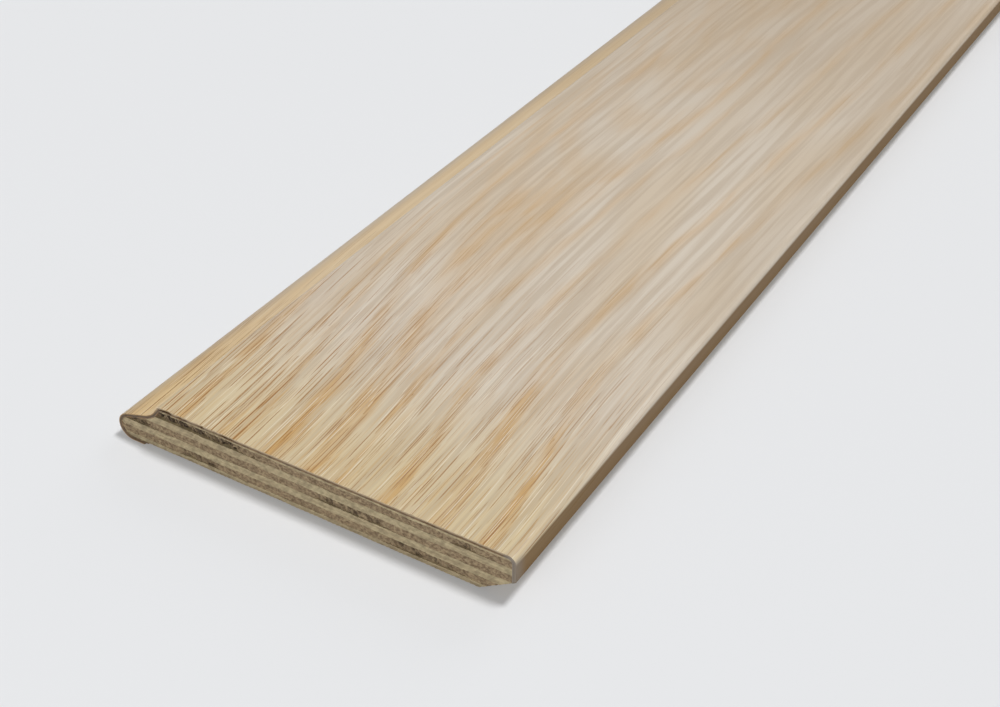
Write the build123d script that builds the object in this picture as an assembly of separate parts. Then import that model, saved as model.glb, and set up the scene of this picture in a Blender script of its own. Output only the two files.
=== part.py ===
from build123d import *
import math
import os

# A veneer-wrapped threshold strip: seven-ply plywood core, a glue film and one sheet of oak
# veneer wrapped round the top and both long sides.
#
# Frame, in millimetres: +X along the strip, +Y across it from the rounded nose to the square
# side, +Z up. The origin is under the middle, level with the lowest point of the veneer.
# Section coordinates: "across" is the distance from the tip of the nose, "height" is the
# distance above the lowest point of the veneer.

# ---- overall size ----
strip_length = 900.0
strip_width = 80.0

# ---- layers, from the core outwards ----
ply_thicknesses = [0.87, 1.49, 1.44, 1.53, 1.47, 1.37, 0.43]  # from the underside up
ply_names = [
    "ply_1_bottom_cross_grain",
    "ply_2_long_grain",
    "ply_3_cross_grain",
    "ply_4_centre_long_grain",
    "ply_5_cross_grain",
    "ply_6_long_grain",
    "ply_7_top_cross_grain",
]
glue_thickness = 0.2
veneer_thickness = 0.5

# ---- moulded outline, on the outside of the veneer ----
nose_radius = 2.75
bead_top_at_tip = 4.82  # height at which the rising line over the nose would meet the tip
bead_slope = 18.0  # degrees above level
cove_slope = 55.0  # degrees above level, where the cove climbs to the flat
cove_radius = 4.6
flat_starts = 9.8  # across, where the cove's slope would meet the flat
cove_arris_radius = 0.9
side_arris_radius = 1.5

# ---- underside ----
lip_end = 5.3  # across, where the turned-under veneer stops
lip_end_slant = 0.9  # how much further the slanted cut runs by the time it meets the core
bevel_starts = 73.4  # across, on the core's underside
bevel_slope = 33.0  # degrees above level
bevel_arris_radius = 0.5

# ---- worked-out sizes ----
wrap_thickness = glue_thickness + veneer_thickness
core_thickness = sum(ply_thicknesses)
strip_height = wrap_thickness + core_thickness + wrap_thickness
half_length = strip_length / 2
half_width = strip_width / 2
spare = 5.0  # how far the cutting shapes run past the section


def rise(run, slope):
    """Height gained over a level run at a slope in degrees."""
    return run * math.tan(math.radians(slope))


def moulded_outline():
    """Face bounded by the outside of the veneer, as if the veneer went all the way round."""
    # The bead's line and the cove's line cross where
    # bead_top + a * tan(bead) = height - (flat_starts - a) * tan(cove).
    bead, cove = rise(1, bead_slope), rise(1, cove_slope)
    valley = (strip_height - flat_starts * cove - bead_top_at_tip) / (bead - cove)
    corners = [
        (0, bead_top_at_tip),
        (valley, bead_top_at_tip + valley * bead),
        (flat_starts, strip_height),
        (strip_width, strip_height),
    ]
    radii = [nose_radius, cove_radius, cove_arris_radius, side_arris_radius]
    start = (strip_width / 2, 0)
    path = FilletPolyline(
        start, (0, 0), *corners, (strip_width, 0), radius=[nose_radius] + radii
    )
    return make_face(path.edges() + Line((strip_width, 0), start).edges())


def trim_below():
    """Everything cut away under the strip: the open underside and the bevelled edge."""
    bevel_height = wrap_thickness + rise(strip_width + spare - bevel_starts, bevel_slope)
    slant_back = lip_end_slant * spare / wrap_thickness
    return make_face(
        Polyline(
            (lip_end - slant_back, -spare),
            (lip_end + lip_end_slant, wrap_thickness),
            (bevel_starts, wrap_thickness),
            (strip_width + spare, bevel_height),
            (strip_width + spare, -spare),
            close=True,
        )
    )


def inset(face, depth):
    return offset(face, amount=-depth, kind=Kind.INTERSECTION)


def layer_band(low, high):
    """A level band that spans the section, from one height to another."""
    middle = (strip_width / 2, (low + high) / 2)
    return Pos(*middle) * Rectangle(strip_width + 2 * spare, high - low)


def extrude_along_strip(section):
    """Turn a section (across, height) into a solid that runs the length of the strip."""
    across_to_y = Plane(origin=(-half_length, -half_width, 0), x_dir=(0, 1, 0), z_dir=(1, 0, 0))
    return extrude(across_to_y * section, amount=strip_length)


def ease_bevel_arris(section):
    """Round the corner where the veneer's outer face meets the bevel."""
    outer = [v for v in section.vertices() if v.X > strip_width - 0.01]
    lowest = min(outer, key=lambda v: v.Y)
    return fillet([lowest], bevel_arris_radius)


outline = moulded_outline()
cut_away = trim_below()
inside_veneer = inset(outline, veneer_thickness)
inside_glue = inset(outline, wrap_thickness)

sections = {
    "oak_veneer_wrap": ease_bevel_arris(outline - inside_veneer - cut_away),
    "wrap_glue_film": inside_veneer - inside_glue - cut_away,
}

core = inside_glue - cut_away
underside = wrap_thickness
for name, thickness in zip(ply_names, ply_thicknesses):
    sections[name] = core & layer_band(underside, underside + thickness)
    underside += thickness

os.makedirs("parts", exist_ok=True)
for name, section in sections.items():
    solid = extrude_along_strip(section)
    export_step(solid, f"parts/{name}.step")
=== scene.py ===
import math
import bmesh
import bpy
import numpy as np
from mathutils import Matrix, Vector


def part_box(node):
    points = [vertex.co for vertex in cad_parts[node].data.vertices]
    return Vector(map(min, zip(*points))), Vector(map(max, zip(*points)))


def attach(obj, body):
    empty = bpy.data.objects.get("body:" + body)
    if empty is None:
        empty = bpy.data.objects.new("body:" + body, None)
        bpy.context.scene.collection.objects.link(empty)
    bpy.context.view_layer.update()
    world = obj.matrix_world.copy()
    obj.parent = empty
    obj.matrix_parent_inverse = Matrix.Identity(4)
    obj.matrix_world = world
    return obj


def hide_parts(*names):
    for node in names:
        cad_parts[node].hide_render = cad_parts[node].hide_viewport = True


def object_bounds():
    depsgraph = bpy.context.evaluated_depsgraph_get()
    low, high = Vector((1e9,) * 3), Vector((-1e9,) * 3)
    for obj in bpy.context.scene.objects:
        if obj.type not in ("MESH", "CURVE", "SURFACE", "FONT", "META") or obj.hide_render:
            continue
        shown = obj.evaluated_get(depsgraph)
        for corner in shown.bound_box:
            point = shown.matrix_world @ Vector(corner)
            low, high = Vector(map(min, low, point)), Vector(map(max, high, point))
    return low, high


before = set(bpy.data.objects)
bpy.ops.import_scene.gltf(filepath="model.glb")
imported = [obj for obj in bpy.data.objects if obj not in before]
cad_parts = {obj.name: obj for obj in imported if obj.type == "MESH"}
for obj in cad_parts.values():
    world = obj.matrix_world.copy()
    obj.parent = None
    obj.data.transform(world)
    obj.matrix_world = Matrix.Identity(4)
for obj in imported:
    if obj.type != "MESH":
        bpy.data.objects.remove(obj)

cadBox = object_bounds()
mm = 0.001


# a node's lowest and highest corner
def nodeBox(name):
    low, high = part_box(name)
    return np.array(low), np.array(high)


wrapLow, wrapHigh = nodeBox("oak_veneer_wrap")
glueLow, _ = nodeBox("wrap_glue_film")
nodeNames = sorted(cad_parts)
plyNames = [name for name in nodeNames if name.startswith("ply_")]  # numbered from the underside up
plyLevels = [nodeBox(name)[0][2] for name in plyNames] + [nodeBox(plyNames[-1])[1][2]]

nearEnd, farEnd = wrapHigh[0], wrapLow[0]
stripWidth = wrapHigh[1] - wrapLow[1]
stripHeight = wrapHigh[2] - wrapLow[2]
veneerDepth = glueLow[1] - wrapLow[1]  # from the outside in to the glue
coreDepth = plyLevels[0] - wrapLow[2]  # from the outside in to the plywood

# the moulded section; "across" runs from the tip of the nose, heights from the veneer's lowest point
mould = dict(
    noseRadius=2.75 * mm,
    beadTopAtTip=4.82 * mm,  # where the bead's line would meet the tip
    beadSlope=math.radians(18),
    coveSlope=math.radians(55),
    coveRadius=4.6 * mm,
    flatStarts=9.8 * mm,
    coveArris=0.9 * mm,
    sideArris=1.5 * mm,
    lipEnd=5.3 * mm,
    lipSlant=0.9 * mm,  # how much further the lip's cut runs by the time it meets the core
    bevelStarts=73.4 * mm,
    bevelSlope=math.radians(33),
)


# how many steps each arc and each straight run of the section gets, from the lip round to the bevel
outlineSteps = dict(
    arcs=(14, 12, 10, 7, 10),
    runs=(8, 1, 14, 4, 160, 10),
)


# smooth value noise: random numbers on a lattice, blended with a smooth step in both directions
def latticeNoise(a, b, seed, size=257):
    table = np.random.default_rng(seed).random((size, size)) * 2 - 1
    i, j = np.floor(a), np.floor(b)
    fa, fb = a - i, b - j
    fa, fb = fa * fa * (3 - 2 * fa), fb * fb * (3 - 2 * fb)
    i, j = i.astype(int) % size, j.astype(int) % size
    k, l = (i + 1) % size, (j + 1) % size
    top = table[i, j] * (1 - fb) + table[i, l] * fb
    bottom = table[k, j] * (1 - fb) + table[k, l] * fb
    return top * (1 - fa) + bottom * fa


# several octaves of the same noise, each twice as fine and half as strong
def layeredNoise(a, b, seed, octaves=3):
    total = 0
    for octave in range(octaves):
        total = total + latticeNoise(a * 2 ** octave, b * 2 ** octave, seed + octave) / 2 ** octave
    return total


# a step from 0 to 1 with soft shoulders
def softStep(x, low, high):
    x = np.clip((x - low) / (high - low), 0, 1)
    return x * x * (3 - 2 * x)


# the faces of a grid of rows x columns whose points are numbered row by row
def gridFaces(rows, columns, first=0, flip=False, closeRows=False):
    wrap = rows if closeRows else rows - 1
    i, j = np.meshgrid(np.arange(wrap), np.arange(columns - 1), indexing="ij")
    i2 = (i + 1) % rows
    quads = np.stack([i * columns + j, i2 * columns + j, i2 * columns + j + 1, i * columns + j + 1], -1)
    quads = quads.reshape(-1, 4) + first
    return quads[:, ::-1] if flip else quads


# A mesh object at the origin from points and quads; sheet gives a UV point per mesh point, and values holds
# extra numbers by name, one for each point or one for each face. Seams between its grids are merged.
def meshPiece(name, points, quads, material, sheet=None, values=None):
    mesh = bpy.data.meshes.new(name)
    mesh.vertices.add(len(points))
    mesh.vertices.foreach_set("co", np.asarray(points, np.float32).ravel())
    mesh.loops.add(quads.size)
    mesh.loops.foreach_set("vertex_index", quads.ravel().astype(np.int32))
    mesh.polygons.add(len(quads))
    mesh.polygons.foreach_set("loop_start", np.arange(0, quads.size, 4, dtype=np.int32))
    mesh.update(calc_edges=True)
    if sheet is not None:
        layer = mesh.uv_layers.new(name="sheet")
        layer.data.foreach_set("uv", np.asarray(sheet, np.float32)[quads.ravel()].ravel())
    for key, data in (values or {}).items():
        attribute = mesh.attributes.new(key, "FLOAT", "POINT" if len(data) == len(points) else "FACE")
        attribute.data.foreach_set("value", np.asarray(data, np.float32))
    shell = bmesh.new()
    shell.from_mesh(mesh)
    bmesh.ops.remove_doubles(shell, verts=shell.verts, dist=0.001 * mm)
    shell.to_mesh(mesh)
    shell.free()
    mesh.materials.append(material)
    piece = bpy.data.objects.new(name, mesh)
    bpy.context.scene.collection.objects.link(piece)
    return piece


# smooth shading except across edges sharper than the angle
def shadeSmooth(piece, degrees):
    piece.data.polygons.foreach_set("use_smooth", np.ones(len(piece.data.polygons), bool))
    piece.data.set_sharp_from_angle(angle=math.radians(degrees))


# Each side of the section is a straight line (a point and a heading), moved inwards by depth. Lines next
# to each other are intersected, and each corner is rounded by an arc: radius less depth where the section
# turns right, radius plus depth in the cove, which turns left.
def mouldCorners(depth):
    m = mould
    width, height = stripWidth, stripHeight
    lipHeading = math.atan2(coreDepth, m["lipSlant"])
    sides = [  # point, heading, moved inwards or not
        ((m["lipEnd"], 0), lipHeading, False),
        ((0, 0), math.pi, True),
        ((0, 0), math.pi / 2, True),
        ((0, m["beadTopAtTip"]), m["beadSlope"], True),
        ((m["flatStarts"], height), m["coveSlope"], True),
        ((0, height), 0, True),
        ((width, 0), -math.pi / 2, True),
        ((m["bevelStarts"], coreDepth), m["bevelSlope"], False),
    ]
    lines = []
    for point, heading, moved in sides:
        direction = np.array([math.cos(heading), math.sin(heading)])
        inwards = np.array([direction[1], -direction[0]]) * (depth if moved else 0)
        lines.append((np.array(point, float) + inwards, direction))
    corners = []
    for (p, d), (q, e) in zip(lines, lines[1:]):
        along = np.linalg.solve(np.stack([d, -e], 1), q - p)[0]
        corners.append(p + d * along)
    return corners


# Points of the outline at a depth below the outer face, always the same number of them, so that any two
# depths pair up point by point. It runs from the lip under the nose, round the nose, over the top and down
# to the bevel: straight runs, joined at each corner by an arc that touches both.
def mouldOutline(depth, fineness=1.0):
    m = mould
    corners = mouldCorners(depth)
    turns = [m["noseRadius"] - depth, m["noseRadius"] - depth, m["coveRadius"] + depth,
             m["coveArris"] - depth, m["sideArris"] - depth]
    arcSteps = [int(n * fineness) for n in outlineSteps["arcs"]]
    runSteps = [int(n * fineness) for n in outlineSteps["runs"]]
    points, last = [], corners[0]
    for k, radius in enumerate(turns):
        before, corner, after = corners[k], corners[k + 1], corners[k + 2]
        d = (corner - before) / np.linalg.norm(corner - before)
        e = (after - corner) / np.linalg.norm(after - corner)
        turn = math.atan2(d[0] * e[1] - d[1] * e[0], d @ e)
        start = corner - d * radius * math.tan(abs(turn) / 2)
        run = np.linspace(0, 1, runSteps[k] + 1)[:-1, None]
        points.append(last + (start - last) * run)
        side = math.copysign(1, turn)
        centre = start + radius * side * np.array([-d[1], d[0]])
        first = math.atan2(start[1] - centre[1], start[0] - centre[0])
        angle = first + turn * np.linspace(0, 1, arcSteps[k] + 1)[:-1]
        points.append(centre + radius * np.stack([np.cos(angle), np.sin(angle)], 1))
        last = corner + e * radius * math.tan(abs(turn) / 2)
    run = np.linspace(0, 1, runSteps[-1] + 1)[:, None]
    points.append(last + (corners[-1] - last) * run)
    return np.concatenate(points)


# running length along an outline, set so that halfway across the strip it equals the distance from the
# nose's tip
def sheetAcross(outline):
    steps = np.linalg.norm(np.diff(outline, axis=0), axis=1)
    length = np.concatenate([[0], np.cumsum(steps)])
    middle = np.argmin(abs(outline[:, 0] - stripWidth / 2))
    return length - length[middle] + outline[middle, 0]


# The core's limits at a height, on the nose side and on the square side: read off its outline, and on the
# square side off the bevel where that is nearer.
def coreLimits(height):
    outline = mouldOutline(coreDepth, 4)
    left = outline[np.argmax(outline[:, 0] <= mould["noseRadius"]):]
    top = np.argmax(left[:, 1] >= left[:, 1].max() - 1e-9)
    left, right = left[:top + 1], outline[outline[:, 0] > stripWidth * 0.9][::-1]
    bevel = mould["bevelStarts"] + (height - coreDepth) / math.tan(mould["bevelSlope"])
    yLeft = np.interp(height, left[:, 1], left[:, 0])
    yRight = np.minimum(np.interp(height, right[:, 1], right[:, 0]), bevel)
    return yLeft, yRight


# points in the frame, from places along the strip, across it and up
def toRow(x, across, height):
    return np.stack(np.broadcast_arrays(x, across + wrapLow[1], height + wrapLow[2]), -1).reshape(-1, 3)


# wraps a socket, so that sums on shader values can be written as Python; each operator adds one node
class Wire:
    def __init__(self, tree, socket):
        self.tree, self.socket = tree, socket

    def maths(self, operation, *values):
        node = self.tree.nodes.new("ShaderNodeMath")
        node.operation = operation
        for slot, value in zip(node.inputs, values):
            plug(self.tree, slot, value)
        return Wire(self.tree, node.outputs[0])

    def __add__(self, other):
        return self.maths("ADD", self, other)

    def __radd__(self, other):
        return self.maths("ADD", other, self)

    def __sub__(self, other):
        return self.maths("SUBTRACT", self, other)

    def __rsub__(self, other):
        return self.maths("SUBTRACT", other, self)

    def __mul__(self, other):
        return self.maths("MULTIPLY", self, other)

    def __rmul__(self, other):
        return self.maths("MULTIPLY", other, self)

    def __truediv__(self, other):
        return self.maths("DIVIDE", self, other)

    def __lt__(self, other):
        return self.maths("LESS_THAN", self, other)

    def __gt__(self, other):
        return self.maths("GREATER_THAN", self, other)

    def __neg__(self):
        return self.maths("MULTIPLY", self, -1)

    def __abs__(self):
        return self.maths("ABSOLUTE", self)

    def floor(self):
        return self.maths("FLOOR", self)

    def fraction(self):
        return self.maths("FRACT", self)

    def most(self, other):
        return self.maths("MAXIMUM", self, other)

    def least(self, other):
        return self.maths("MINIMUM", self, other)

    # 0 below low, 1 above high, with soft shoulders; turned round where low is the larger
    def step(self, low, high):
        node = self.tree.nodes.new("ShaderNodeMapRange")
        node.interpolation_type = "SMOOTHSTEP"
        for slot, value in zip(node.inputs, (self, low, high, 0.0, 1.0)):
            plug(self.tree, slot, value)
        return Wire(self.tree, node.outputs[0])


def plug(tree, slot, value):
    if isinstance(value, Wire):
        tree.links.new(value.socket, slot)
    else:
        slot.default_value = value


# the nodes of one material or of the world, with short ways to add those that the finishes use
class Finish:
    def __init__(self, owner):
        owner.use_nodes = True
        self.owner, self.tree = owner, owner.node_tree
        self.shader = next(node for node in self.tree.nodes if "Output" not in node.name)

    # any node: type, settings first, then socket values or links; gives one output
    def node(self, kind, settings=None, sockets=None, output=0):
        node = self.tree.nodes.new(kind)
        for key, value in (settings or {}).items():
            setattr(node, key, value)
        for key, value in (sockets or {}).items():
            plug(self.tree, node.inputs[key], value)
        return Wire(self.tree, node.outputs[output])

    def vector(self, x=0.0, y=0.0, z=0.0):
        return self.node("ShaderNodeCombineXYZ", sockets={0: x, 1: y, 2: z})

    def parts(self, vector):
        node = self.tree.nodes.new("ShaderNodeSeparateXYZ")
        self.tree.links.new(vector.socket, node.inputs[0])
        return [Wire(self.tree, output) for output in node.outputs]

    # soft noise, about 0.5, on coordinates already divided by the size of one lump
    def noise(self, x=0.0, y=0.0, z=0.0, detail=2.0, roughness=0.5):
        sockets = {"Vector": self.vector(x, y, z), "Scale": 1.0, "Detail": detail, "Roughness": roughness}
        return self.node("ShaderNodeTexNoise", sockets=sockets, output="Fac")

    # a share read off straight lines between (place, share) stops
    def ramp(self, share, stops):
        node = self.tree.nodes.new("ShaderNodeValToRGB")
        handles = node.color_ramp.elements
        while len(handles) < len(stops):
            handles.new(0.5)
        for handle, (at, much) in zip(handles, stops):
            handle.position = at
            handle.color = (much, much, much, 1)
        plug(self.tree, node.inputs[0], share)
        return Wire(self.tree, node.outputs[0]) * 1.0  # the Math node makes one number of the grey

    # three random numbers from 0 to 1, the same wherever x, y and z are the same
    def dice(self, x, y=0.0, z=0.0):
        sockets = {"Vector": self.vector(x, y, z)}
        return self.parts(self.node("ShaderNodeTexWhiteNoise", sockets=sockets, output="Color"))

    # from the first colour to the second as share goes from 0 to 1
    def mix(self, share, first, second):
        node = self.tree.nodes.new("ShaderNodeMix")
        node.data_type = "RGBA"
        plug(self.tree, node.inputs[0], share)
        for index, colour in ((6, first), (7, second)):
            plug(self.tree, node.inputs[index], colour if isinstance(colour, Wire) else (*colour, 1))
        return Wire(self.tree, node.outputs[2])

    # the shader's own inputs, by name
    def set(self, **values):
        for key, value in values.items():
            slot = self.shader.inputs[key.replace("_", " ")]
            plug(self.tree, slot, (*value, 1) if isinstance(value, tuple) else value)

    # height in millimetres, turned into a bumped normal
    def bump(self, height):
        sockets = {"Strength": 1.0, "Distance": mm, "Height": height}
        self.set(Normal=self.node("ShaderNodeBump", sockets=sockets))


# Lengths are in millimetres: across the sheet as sheetAcross counts them, or back from the near end.
oakLook = dict(
    cream=(0.635, 0.534, 0.412),  # latewood
    pale=(0.665, 0.588, 0.490),
    yellow=(0.660, 0.540, 0.325),  # near the cut end
    golden=(0.570, 0.335, 0.115),  # earlywood
    amber=(0.800, 0.550, 0.240),  # over the bead and cove
    dun=(0.430, 0.330, 0.225),
    paintedSideShade=(0.205, 0.118, 0.042),  # painted shade down the square side
    shadowLine=(0.050, 0.036, 0.022),  # along the bottom of that side
    worn=(0.270, 0.225, 0.180),  # at the handled corner
    pore=(0.320, 0.145, 0.038),
    # pale rays, and painted highlights along the pore edges and the arris
    paleRayAndHighlight=(0.820, 0.740, 0.600),
    cutEdge=(0.560, 0.430, 0.270),
    cutInside=(0.180, 0.105, 0.045),
    noseEdge=(0.430, 0.250, 0.090),
    noseInside=(0.100, 0.060, 0.028),
    # how much of a colour is laid over the others where it is strongest, from 0 to 1
    shares=dict(
        yellow=0.84,
        streaks=0.40,
        amber=0.52,
        raysAndGlints=0.65,
        finePores=0.50,
        midPores=0.62,
        pores=0.75,
        morePores=0.20,  # on the nose side
        # painted shade towards the far end
        paintedFalloff=0.46,
        noseTip=0.35,
        farFlat=0.25,
        # painted highlight along the arris
        arris=0.12,
        # painted shade down the square side
        paintedSideShade=0.90,
        moreSideShade=0.07,  # more painted shade lower down the side
        shadowLine=0.70,
        corner=0.65,
        noseCut=0.90,
        cornerCut=0.92,
    ),
    # where something starts to show, and where it shows fully
    places=dict(
        # back from the near end
        clear=(98, -8),
        vivid=(54, 0),
        yellow=(42, 0),
        paintedFalloff=(95, 230),
        corner=(3.4, 0.4),
        tongueFrom=(20, 130),
        tongueTo=(340, 190),
        farFlatBack=(30, 90),
        # across the sheet
        noseward=(34, 24),
        amber=(8.5, 6.5),
        overTip=(-0.5, 2.0),
        noseTip=(3.5, 1.0),
        noseCut=(10, 8),
        farFlat=(68, 78),
        cornerCut=(77, 79),
        arrisFrom=(78.4, 79.6),
        arrisTo=(80.5, 80.0),
        cornerSide=(79.8, 80.6),
        side=(80.3, 81.1),
        lowerSide=(81.5, 84.5),
        shadowLine=(84.1, 84.9),
    ),
    # growth rings where they meet the near end: place across the sheet, half width, strength
    rings=((2.5, 2.2, 0.55), (14.6, 1.5, 0.75), (23.2, 0.8, 0.75), (26.0, 1.0, 0.60), (33.6, 2.3, 1.0),
           (41.0, 2.6, 1.0), (47.0, 1.8, 0.65), (56.0, 1.9, 0.75), (65.5, 2.1, 0.90), (74.3, 1.9, 0.90)),
    ringSpan=92.0,  # the row of rings starts again after this
    # filled is the share of a pattern's places that hold a dash: anywhere, more on the nose side, more in
    # earlywood
    pores=dict(pitch=0.80, length=19, width=0.18, filled=(0.14, 0.25, 0.62), seed=21.0),
    midPores=dict(pitch=0.50, length=13, width=0.13, filled=(0.16, 0.06, 0.60), seed=23.0),
    finePores=dict(pitch=0.30, length=8, width=0.10, filled=(0.22, 0.0, 0.50), seed=25.0),
    raysAndGlints=dict(pitch=0.55, length=14, width=0.13, filled=(0.26, 0.0, 0.45), seed=27.0),
    roughness=0.42,
    coat=0.10,
    coatRoughness=0.3,
    specular=0.3,
)


# Oak drawn on the sheet's own UV map. Rings are a ramp across the sheet, read at a place that leans and
# wanders along it; pores are dashes along the fibres, closer together in the earlywood.
def oakVeneer():
    look, oak = oakLook, Finish(bpy.data.materials.new("oakVeneer"))
    share, at = look["shares"], look["places"]
    u, v, _ = oak.parts(oak.node("ShaderNodeUVMap", {"uv_map": "sheet"}))
    t = (nearEnd - u) * 1000  # from the near end, in millimetres
    w = v * 1000  # across the sheet
    # the way the rings run: to the nose on one side, and away from it and back on the other
    noseSide = t.step(0, 110) * (w.step(4, 26) * 10 + 4) + t.least(60) * 0.06 - t.step(170, 330) * 17
    squareSide = t.step(0, 50) * 5.5 - t.step(50, 190) * 8
    wander = (oak.noise(t / 170, w / 70, 3.0, 1.0) - 0.5) * t.step(60, 320) * 26
    ripple = (oak.noise(t / 55, w / 16, 7.0, 1.0) - 0.5) * 1.8
    lean = noseSide + (squareSide - noseSide) * w.step(8, 60) + wander + ripple
    # the fibres run straighter than the rings
    fibre = w + lean * 0.3 + t.least(80) * w.step(75, 20) * 0.035
    # the figure is clearest near the cut end
    ringVivid = 0.47 + 0.57 * t.step(*at["vivid"])
    poreVivid = 0.08 + 0.98 * t.step(*at["clear"])
    pocket = t.step(*at["tongueFrom"]) * t.step(*at["tongueTo"])  # where the grain opens out round a tongue
    side = w.step(33 - 17 * pocket, 41 - 2 * pocket)
    place = w + noseSide + (squareSide - noseSide) * side + wander + ripple
    strand = (oak.noise(t / 22, fibre / 0.80, 11.0, 1.0) - 0.5) * 4.2 * ringVivid
    hair = (oak.noise(t / 9, fibre / 0.30, 13.0, 0.0) - 0.5) * 2.6 * poreVivid
    ragged = place + strand + hair

    stops = [(0.0, 0.0)]
    for middle, reach, strength in look["rings"]:
        stops += [(middle - reach, 0.0), (middle, strength), (middle + reach, 0.0)]
    stops = [(where / look["ringSpan"], much) for where, much in stops]
    early = oak.ramp((ragged / look["ringSpan"]).fraction(), stops)
    # arches in the tongue: a parabola across it, moving on along the strip
    sideways = (w - 31) / (4.5 + 9 * pocket)
    arch = (t - 52) / 24 - sideways * sideways + (strand + hair) * 0.10
    inTongue = arch.step(0.0, 0.15) * pocket * w.step(11, 16) * w.step(43, 37)
    tongueRing = arch.fraction().step(0.0, 0.35) * arch.fraction().step(0.90, 0.40)
    early = early.most(inTongue * tongueRing * 0.45)
    patch = oak.noise(t / 19, w / 3.2, 17.0, 1.0).step(0.40, 0.58)
    early = early * (0.40 + 0.60 * patch)
    noseward = w.step(*at["noseward"])

    # dashes in columns along the grain, each column and each dash with its own dice
    def dashes(kind):
        pitch, seed = kind["pitch"], kind["seed"]
        anywhere, onNoseSide, inEarlywood = kind["filled"]
        drift = (fibre + (oak.noise(t / 110, w / 9, seed, 1.0) - 0.5) * 1.4) / pitch
        column = drift.floor()
        shift, _, _ = oak.dice(column, seed)
        run = t / kind["length"] + shift * 9
        chance, offset, size = oak.dice(column, run.floor(), seed + 0.5)
        off = abs(drift.fraction() - 0.5 - (offset - 0.5) * 0.5) * pitch
        taper = abs(run.fraction() - 0.5).step(0.5, 0.14 + 0.25 * (1 - size))
        thick = kind["width"] * (0.45 + 0.55 * size) * taper
        filled = chance < anywhere + onNoseSide * noseward + inEarlywood * early
        return off.step(thick, thick * 0.4) * filled * taper

    pores, midPores = dashes(look["pores"]), dashes(look["midPores"])
    finePores, raysAndGlints = dashes(look["finePores"]), dashes(look["raysAndGlints"])
    grain = oak.noise(t / 13, fibre / 0.26, 31.0, 1.0)
    streaks = oak.noise(t / 42, fibre / 1.3, 33.0, 2.0)
    tone = oak.noise(t / 60, w / 11, 37.0, 1.0)
    # painted shade: darker towards the far end in broad patches, standing in for light falling off along
    # the strip
    paintedFalloff = t.step(*at["paintedFalloff"]) * oak.noise(t / 400, w / 300, 41.0, 0.0).step(0.2, 0.5)

    # the wood itself
    colour = oak.mix(tone.step(0.30, 0.60), look["cream"], look["pale"])
    colour = oak.mix(t.step(*at["yellow"]) * share["yellow"], colour, look["yellow"])
    colour = oak.mix(streaks.step(0.62, 0.36) * share["streaks"], colour, look["dun"])
    colour = oak.mix(early * ringVivid, colour, look["golden"])
    colour = oak.mix(((grain - 0.5) * 1.6 + 0.06) * poreVivid, colour, look["golden"])
    colour = oak.mix(w.step(*at["amber"]) * w.step(*at["overTip"]) * share["amber"], colour, look["amber"])
    # pale dashes beside the pores: partly pale rays, partly painted highlights on the pore edges
    colour = oak.mix(raysAndGlints * poreVivid * share["raysAndGlints"], colour, look["paleRayAndHighlight"])
    colour = oak.mix(finePores * poreVivid * share["finePores"], colour, look["pore"])
    colour = oak.mix(midPores * poreVivid * share["midPores"], colour, look["pore"])
    poreShare = share["pores"] + share["morePores"] * noseward
    colour = oak.mix(pores * poreVivid * poreShare, colour, look["pore"])
    # painted shade, highlights and shadow, and handling wear
    farFlat = w.step(*at["farFlat"]) * t.step(*at["farFlatBack"])
    # painted highlight along the arris
    arris = w.step(*at["arrisFrom"]) * w.step(*at["arrisTo"])
    sideFace = w.step(*at["side"])
    # painted shade down the square side, deeper lower down
    sideShading = sideFace * share["paintedSideShade"] + w.step(*at["lowerSide"]) * share["moreSideShade"]
    corner = w.step(*at["cornerSide"]) * t.step(*at["corner"])
    # painted shade over the nose tip, and a darker colour along the far part of the flat by the square side
    tipShadeAndFarDarkening = w.step(*at["noseTip"]) * share["noseTip"] + farFlat * share["farFlat"]
    colour = oak.mix(paintedFalloff * share["paintedFalloff"], colour, look["dun"])
    colour = oak.mix(tipShadeAndFarDarkening, colour, look["dun"])
    colour = oak.mix(arris * share["arris"], colour, look["paleRayAndHighlight"])
    colour = oak.mix(sideShading, colour, look["paintedSideShade"])
    colour = oak.mix(w.step(*at["shadowLine"]) * share["shadowLine"], colour, look["shadowLine"])
    colour = oak.mix(corner * share["corner"], colour, look["worn"])
    # the cut edge, from the outer face in to the glue
    cut = oak.node("ShaderNodeAttribute", {"attribute_name": "cut"}, output="Fac")
    edge = oak.mix(cut.step(0.15, 0.95), look["cutEdge"], look["cutInside"])
    noseCut = oak.mix(cut.step(0.10, 0.60), look["noseEdge"], look["noseInside"])
    edge = oak.mix(w.step(*at["noseCut"]) * share["noseCut"], edge, noseCut)
    edge = oak.mix(w.step(*at["cornerCut"]) * share["cornerCut"], edge, look["worn"])
    colour = oak.mix(cut > 0.01, colour, edge)
    oak.set(Base_Color=colour)
    oak.set(Roughness=look["roughness"] + 0.10 * early + 0.25 * pores + 0.40 * sideFace)
    oak.set(Coat_Weight=look["coat"] * (1 - sideFace), Coat_Roughness=look["coatRoughness"])
    oak.set(Specular_IOR_Level=look["specular"])
    oak.bump(pores * -0.012 + finePores * -0.006 + grain * 0.008)
    return oak.owner



plyLook = dict(
    columns=400,  # quads across
    rows=10,  # quads through the thickness
    stations=26,  # cross-sections along the strip
    waveDepth=0.09 * mm,  # how far the boundary between two plies wanders up and down
    waveLength=60 * mm,
    rippleDepth=0.05 * mm,
    rippleLength=4 * mm,
    sharpAbove=50,  # degrees
    sideGrain=(0.600, 0.500, 0.295),  # where the fibres lie in the face
    endGrain=(0.390, 0.280, 0.165),  # where the fibres are cut across
    dirtAndShade=(0.110, 0.070, 0.036),
    tornPitShade=(0.045, 0.028, 0.015),
    shadedFoot=(1.7, 0.6),  # heights in mm where the painted shade at the foot starts and where it shows fully
    # how strong the painted shade at the foot is
    footShade=0.26,
    mottled=0.30,
    roughness=0.75,
)


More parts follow.
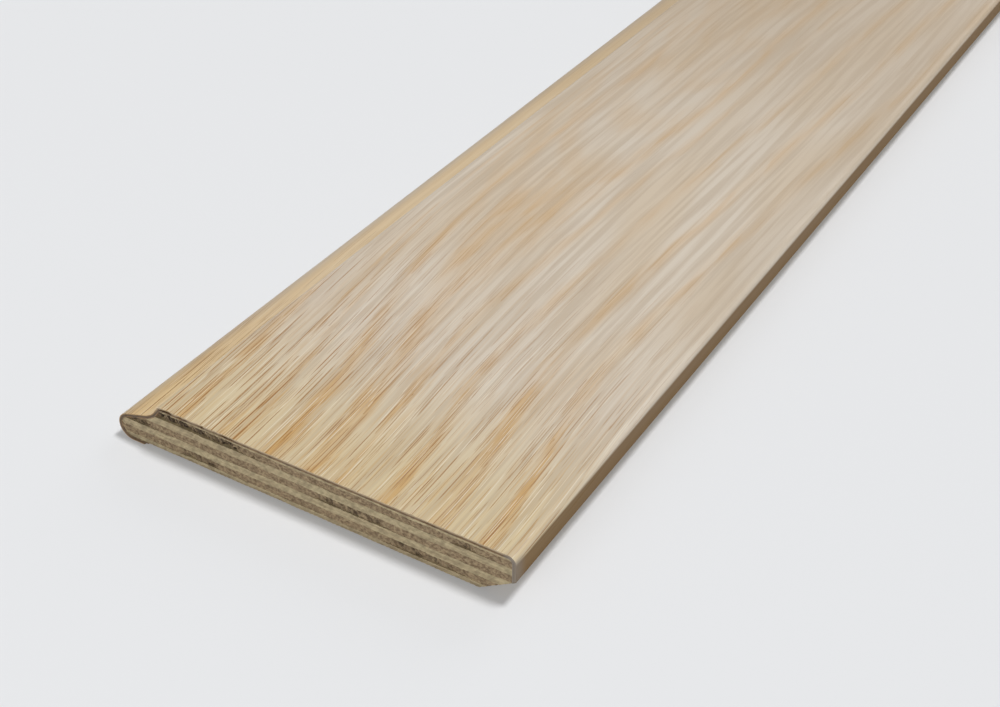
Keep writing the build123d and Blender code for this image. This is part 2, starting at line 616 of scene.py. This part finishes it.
# One peeled wood for all plies: fibres lie along X or along Y, pale and streaked where the fibres lie in
# the face, dark and speckled where they are cut across. All sizes are in millimetres.
def plyWood(name, alongStrip):
    look, wood = plyLook, Finish(bpy.data.materials.new(name))
    place = wood.node("ShaderNodeTexCoord", output="Object")
    x, y, z = wood.parts(place)
    x, y, z = x * 1000, y * 1000, z * 1000
    fibre, across = (x, y) if alongStrip else (y, x)
    endness = wood.node("ShaderNodeAttribute", {"attribute_name": "endGrain"}, output="Fac")
    torn = wood.node("ShaderNodeAttribute", {"attribute_name": "torn"}, output="Fac")
    streaks = wood.noise(fibre / 6, across / 0.5, z / 0.30, 2.0)
    bands = wood.noise(fibre / 30, across / 5, z / 0.8, 1.0)
    specks = wood.noise(fibre / 0.9, across / 0.55, z / 0.42, 2.0, 0.6)
    slant = wood.noise((y - z * 0.8) / 0.75, (z + y * 0.8) / 3.2, x, 1.0)
    ticks = wood.noise((y + z * 0.55) / 0.40, z / 1.5, x / 2, 1.0).step(0.40, 0.58)
    mottle = wood.noise(x / 1.6, y / 1.6, z / 0.7, 2.0)
    side = wood.mix(streaks.step(0.66, 0.34) * 0.42, look["sideGrain"], look["endGrain"])
    side = wood.mix(bands.step(0.35, 0.7) * 0.30, side, look["endGrain"])
    ends = wood.mix(specks.step(0.56, 0.34) * 0.55, look["endGrain"], look["dirtAndShade"])
    ends = wood.mix(specks.step(0.50, 0.70) * 0.40, ends, look["sideGrain"])
    colour = wood.mix(endness, side, ends)
    colour = wood.mix(mottle.step(0.56, 0.36) * look["mottled"], colour, look["dirtAndShade"])
    colour = wood.mix(slant.step(0.58, 0.36) * 0.20, colour, look["dirtAndShade"])
    # painted shade: the plies darker towards the floor at their foot
    colour = wood.mix(z.step(*look["shadedFoot"]) * look["footShade"], colour, look["dirtAndShade"])
    # painted shade in the torn pits, broken into slanting ticks
    colour = wood.mix(torn.step(0.0, 0.6) * (ticks * 0.85 + 0.12), colour, look["tornPitShade"])
    wood.set(Base_Color=colour)
    wood.set(Roughness=look["roughness"] + 0.2 * endness)
    wood.bump(streaks * 0.05 + specks * endness * 0.16 + slant * 0.05)
    return wood.owner


glueLook = dict(
    dark=(0.125, 0.073, 0.033),
    light=(0.290, 0.170, 0.076),
    lumps=900,  # to the metre
    wornFrom=37.2 * mm,  # along Y, where the rubbed corner starts
    wornFully=38.6 * mm,
    worn=0.95,
)


# lumps of two browns, rubbed to the oak's worn colour at the square side
def glueFilm():
    look, glue = glueLook, Finish(bpy.data.materials.new("glueLine"))
    x, y, z = glue.parts(glue.node("ShaderNodeTexCoord", output="Object"))
    lumps = glue.noise(x * look["lumps"], y * look["lumps"], z * look["lumps"], 2.0)
    colour = glue.mix(lumps.step(0.35, 0.65), look["dark"], look["light"])
    rubbed = y.step(look["wornFrom"], look["wornFully"]) * look["worn"]
    colour = glue.mix(rubbed, colour, oakLook["worn"])
    glue.set(Base_Color=colour)
    glue.set(Roughness=0.35 + 0.3 * lumps)
    glue.bump(lumps * 0.08)
    return glue.owner


# matt paint, lifted a little by a faint glow
def floorPaint():
    paint = Finish(bpy.data.materials.new("floorPaint"))
    paint.set(Base_Color=studio["floorColour"], Roughness=1.0, Specular_IOR_Level=0.0)
    paint.set(Emission_Color=studio["glowColour"], Emission_Strength=studio["floorGlow"])
    return paint.owner


# Stations along the strip, packed close together at both ends.
def lengthStations(count, closeUp=0.35 * mm, rows=6):
    near = nearEnd - closeUp * np.arange(rows) ** 1.6
    far = farEnd + closeUp * np.arange(rows) ** 1.6
    return np.concatenate([far, np.linspace(far[-1], near[-1], count)[1:-1], near[::-1]])


endLook = dict(
    sawMarks=0.03,  # depths in mm, all of them inwards
    fuzz=0.09,
    chips=0.22,
    tear=0.9,
    nearTear=(8.0, 31.0),  # where each end is torn under the veneer, mm from the nose's tip
    farTear=(52.0, 61.0),
    tornPlies={5: 1.0, 6: 0.25},  # counted from 0 at the underside, and how badly each is torn
    fadeOver=4.6 * mm,  # how far along the strip the surface takes to run straight again
)


# 1 where the end is torn, from one place across the strip to the other, with ragged limits
def tearZone(y, atNear):
    start, stop = endLook["nearTear"] if atNear else endLook["farTear"]
    return softStep(y, start, start + 2.5) * softStep(y, stop, stop - 9)


# How far an end of a ply is worn in: saw marks aslant + fuzz drawn out along the fibres + pits where it is
# torn. Also gives how torn it is there, from 0 to 1.
def plyWear(index, across, height, atNear):
    y, z, seed = across / mm, height / mm, 40 * index + (7 if atNear else 19)
    longGrain = index % 2 == 1
    marks = endLook["sawMarks"] * (1 + np.sin(7.1 * y + 5.3 * z + 2 * latticeNoise(y / 9, z / 4, 3)))
    if longGrain:
        fuzz = 1 + layeredNoise(y / 0.45, z / 0.34, seed, 2) / 1.5
    else:
        fuzz = 0.7 + layeredNoise(y / 3.5, z / 0.2, seed, 2) / 2.2
    zone = tearZone(y, atNear) * endLook["tornPlies"].get(index, 0.0)
    patches = softStep(latticeNoise(y / 5, z * 0 + index * 3.3, seed + 5), 0.25, 0.75)
    loose = patches * (0.45 if longGrain else 0)
    holes = softStep(latticeNoise(y / 0.42 + z * 0.6, z / 0.85, seed + 9), -0.05, 0.5)
    torn = np.maximum(zone, loose) * (0.45 + 0.55 * holes)
    depth = marks + endLook["fuzz"] * fuzz + endLook["tear"] * torn
    return mm * np.maximum(depth, 0), np.clip(torn, 0, 1)


# How far the veneer or the glue is chipped back at an end: scattered chips + deep ones in the torn zone + a
# fine raggedness, all of it less at the outer face.
def sheetWear(across, through, atNear, seed):
    y = across / mm
    zone = tearZone(y, atNear)
    chips = softStep(latticeNoise(y / 1.3, y * 0 + seed, seed), 0.25, 0.8) * (0.15 + 0.45 * zone)
    chips = chips + zone * softStep(layeredNoise(y / 1.7, y * 0 + seed, seed + 1, 2), -0.2, 0.9) * 1.2
    fine = 0.10 * (1 + layeredNoise(y / 0.5, y * 0, seed + 2, 2) / 1.5)
    return mm * endLook["chips"] * (chips + fine) * (0.55 + 0.45 * through)


# Moves stations near an end inwards by the wear there, less and less with distance from it.
def wornBack(x, nearWear, farWear):
    fromNear = np.clip(1 - (nearEnd - x) / endLook["fadeOver"], 0, 1)
    fromFar = np.clip(1 - (x - farEnd) / endLook["fadeOver"], 0, 1)
    return x - nearWear * fromNear + farWear * fromFar


veneerLook = dict(
    stations=56,  # cross-sections along the strip
    endRows=6,  # rows across the sheet's cut edge
    lipRagged=0.25 * mm,  # how far the lip's edge falls short in places
    glueOoze=0.45 * mm,  # how far the glue stands out past it in places
    lipEdgeWidth=1.2 * mm,  # the strip along the lip that takes part in this
    lipWave=7 * mm,
    sharpAbove=35,  # degrees
)


# A closed sheet: its section's loop goes along the outer outline and back along the inner one, carried
# along the strip, with a grid across the sheet's thickness closing each end.
def buildSheet(name, outerDepth, innerDepth, material, fineness, seed, lipEdge):
    outer, inner = mouldOutline(outerDepth, fineness), mouldOutline(innerDepth, fineness)
    across = sheetAcross(outer)
    share = np.linspace(0, 1, veneerLook["endRows"] + 1)[:, None, None]
    section = outer * (1 - share) + inner * share  # rows through the thickness x points along the outline
    through = np.broadcast_to(share[:, :, 0], section.shape[:2])
    rows, count = section.shape[:2]
    acrossAll = np.broadcast_to(across, (rows, count))

    # once round the edge of a grid
    def around(grid):
        return np.concatenate([grid[0], grid[1:-1, -1], grid[-1, ::-1], grid[-2:0:-1, 0]])

    # the outline at stations x, worn at the ends and ragged at the lip
    def carried(x, outline, place, depthShare):
        nearWear = sheetWear(place, depthShare, True, seed)
        farWear = sheetWear(place, depthShare, False, seed + 50)
        worn = wornBack(x, nearWear, farWear)
        atLip = softStep(place, across[0] + veneerLook["lipEdgeWidth"], across[0])
        ragged = layeredNoise(x / veneerLook["lipWave"], place * 0 + seed, seed + 9) / 1.75
        slide = lipEdge * atLip * (0.5 + 0.5 * ragged)
        return toRow(worn, outline[..., 0] + slide, outline[..., 1]), worn

    stations = lengthStations(veneerLook["stations"])
    loop, loopPlace, loopThrough = around(section), around(acrossAll), around(through)
    points, x = carried(stations[None, :], loop[:, None], loopPlace[:, None], loopThrough[:, None])
    allPoints = [points]
    allQuads = [gridFaces(len(loop), len(stations), closeRows=True, flip=True)]
    allSheet = [np.stack(np.broadcast_arrays(x, loopPlace[:, None]), -1).reshape(-1, 2)]
    shares = (np.arange(rows - 1) + 0.5) / (rows - 1)
    cut = [np.zeros(len(allQuads[0]))]
    for end, flip in ((stations[-1], False), (stations[0], True)):
        points, x = carried(end, section, acrossAll, through)
        allQuads.append(gridFaces(rows, count, first=sum(map(len, allPoints)), flip=flip))
        allPoints.append(points)
        allSheet.append(np.stack([x, acrossAll], -1).reshape(-1, 2))
        cut.append(0.1 + 0.9 * np.repeat(shares, count - 1))
    piece = meshPiece(name, np.concatenate(allPoints), np.concatenate(allQuads), material,
                      sheet=np.concatenate(allSheet), values={"cut": np.concatenate(cut)})
    shadeSmooth(piece, veneerLook["sharpAbove"])
    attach(piece, "root")
    return piece


veneer = buildSheet("veneerSheet", 0, veneerDepth, oakVeneer(), 2, 101, -veneerLook["lipRagged"])
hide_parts("oak_veneer_wrap")
glue = buildSheet("glueFilm", veneerDepth, coreDepth, glueFilm(), 1.5, 211, veneerLook["glueOoze"])
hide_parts("wrap_glue_film")
print("veneer and glue film built")


# The height of the boundary under a ply, a little wavy; u is the share across from the core's left side.
def plyBoundary(index, u, x):
    level = plyLevels[index] - wrapLow[2]
    if index in (0, len(plyNames)):
        return level + u * 0 + x * 0
    look = plyLook
    waves = layeredNoise(u * 17 + index * 5.1, x / look["waveLength"] + index, 71 + index, 3)
    ripples = latticeNoise(u * 160, x / look["rippleLength"], 91 + index)
    return level + look["waveDepth"] * waves + look["rippleDepth"] * ripples


# A ply is a block of six grids. Each point lies at a share across the core (u) and a share up the ply (v),
# both from 0 to 1, at a station x along the strip.
def buildPly(index, name, material):
    columns, rows = plyLook["columns"], plyLook["rows"]
    stations = lengthStations(plyLook["stations"])
    longGrain = index % 2 == 1
    allPoints, allQuads, allTorn, endGrain = [], [], [], []

    # one face of the block
    def addGrid(u, v, x, flip, cutAcross):
        u, v, x = np.broadcast_arrays(u, v, x)
        low, high = plyBoundary(index, u, x), plyBoundary(index + 1, u, x)
        height = low + (high - low) * v
        left, right = coreLimits(height)
        across = left + (right - left) * u
        nearWear, torn = plyWear(index, across, height, True)
        farWear, farTorn = plyWear(index, across, height, False)
        torn = torn * (x > nearEnd - 2 * mm) + farTorn * (x < farEnd + 2 * mm)
        allQuads.append(gridFaces(*u.shape, first=sum(map(len, allPoints)), flip=flip))
        allPoints.append(toRow(wornBack(x, nearWear, farWear), across, height))
        allTorn.append(torn.ravel())
        endGrain.append(np.full(len(allQuads[-1]), float(cutAcross)))

    u, v = np.linspace(0, 1, columns + 1), np.linspace(0, 1, rows + 1)
    for x, flip in ((stations[-1], True), (stations[0], False)):  # the two cut ends
        addGrid(u[None, :], v[:, None], x, flip, longGrain)
    for level, flip in ((0.0, False), (1.0, True)):  # underside and top
        addGrid(u[:, None], level, stations[None, :], flip, False)
    for side, flip in ((0.0, True), (1.0, False)):  # nose side and square side
        addGrid(side, v[:, None], stations[None, :], flip, not longGrain)
    piece = meshPiece(name, np.concatenate(allPoints), np.concatenate(allQuads), material,
                      values={"torn": np.concatenate(allTorn), "endGrain": np.concatenate(endGrain)})
    shadeSmooth(piece, plyLook["sharpAbove"])
    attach(piece, "root")
    return piece


crossWood, longWood = plyWood("plyCrossGrain", False), plyWood("plyLongGrain", True)
for index, name in enumerate(plyNames):
    longGrain = "long_grain" in name
    ply = buildPly(index, "veneerPly%d" % (index + 1), longWood if longGrain else crossWood)
    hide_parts(name)
print("plies built")


studio = dict(
    cameraFromEnd=(0.1455, 0.1243, 0.1699),  # from the middle of the near end, at floor level
    cameraLooksAt=(-0.0434, 0.0109, 0.010),
    lens=55.5,
    roll=math.radians(0.36),
    floorColour=(0.62, 0.628, 0.64),
    floorGlow=0.175,
    glowColour=(1.0, 1.01, 1.03),
    floorReach=6.0,  # from the middle to each edge
    worldLight=(0.23, 0.23, 0.23),
    worldDark=(0.17, 0.17, 0.17),  # on the square side's side of the room
    overhead=dict(towards=(0.16, -0.31, -1.0), strength=2.2, spread=math.radians(13)),
    softboxes=(  # place from the near end, size, power
        ("rearSoftbox", (-2.2, 0.2, 1.15), 1.5, 7.0),
        ("endFill", (1.3, 0.0, 0.55), 0.9, 5.2),
    ),
)


# turns a camera or a lamp to face a point
def aim(thing, target, roll=0):
    towards = Vector(target) - thing.location
    thing.rotation_euler = towards.to_track_quat("-Z", "Y").to_euler()
    thing.rotation_euler.rotate_axis("Z", roll)


# an object for this data, at a place
def placed(name, data, location):
    thing = bpy.data.objects.new(name, data)
    bpy.context.scene.collection.objects.link(thing)
    thing.location = location
    return thing


end = Vector((nearEnd, 0, 0))
lensData = bpy.data.cameras.new("camera")
lensData.lens = studio["lens"]
lensData.clip_start = 0.01
camera = placed("camera", lensData, end + Vector(studio["cameraFromEnd"]))
aim(camera, end + Vector(studio["cameraLooksAt"]), studio["roll"])
bpy.context.scene.camera = camera

floorMesh = bpy.data.meshes.new("floor")
reach = studio["floorReach"]
corners = [(-reach, -reach, 0), (reach, -reach, 0), (reach, reach, 0), (-reach, reach, 0)]
floorMesh.from_pydata(corners, [], [(0, 1, 2, 3)])
floorMesh.materials.append(floorPaint())
floor = placed("floor", floorMesh, (0, 0, cadBox[0].z))

room = Finish(bpy.data.worlds.new("studio"))
_, sideways, _ = room.parts(room.node("ShaderNodeTexCoord", output="Generated"))
room.set(Color=room.mix(sideways.step(-0.2, 0.5), studio["worldLight"], studio["worldDark"]), Strength=1.0)
bpy.context.scene.world = room.owner

overhead = studio["overhead"]
sunData = bpy.data.lights.new("overhead", "SUN")
sunData.energy = overhead["strength"]
sunData.angle = overhead["spread"]
sun = placed("overhead", sunData, end + Vector((0, 0, 2)))
aim(sun, sun.location + Vector(overhead["towards"]))
for name, place, size, power in studio["softboxes"]:
    boxData = bpy.data.lights.new(name, "AREA")
    boxData.shape = "SQUARE"
    boxData.size = size
    boxData.energy = power
    aim(placed(name, boxData, end + Vector(place)), end)

bpy.context.scene.view_settings.view_transform = "Standard"
print("studio set")
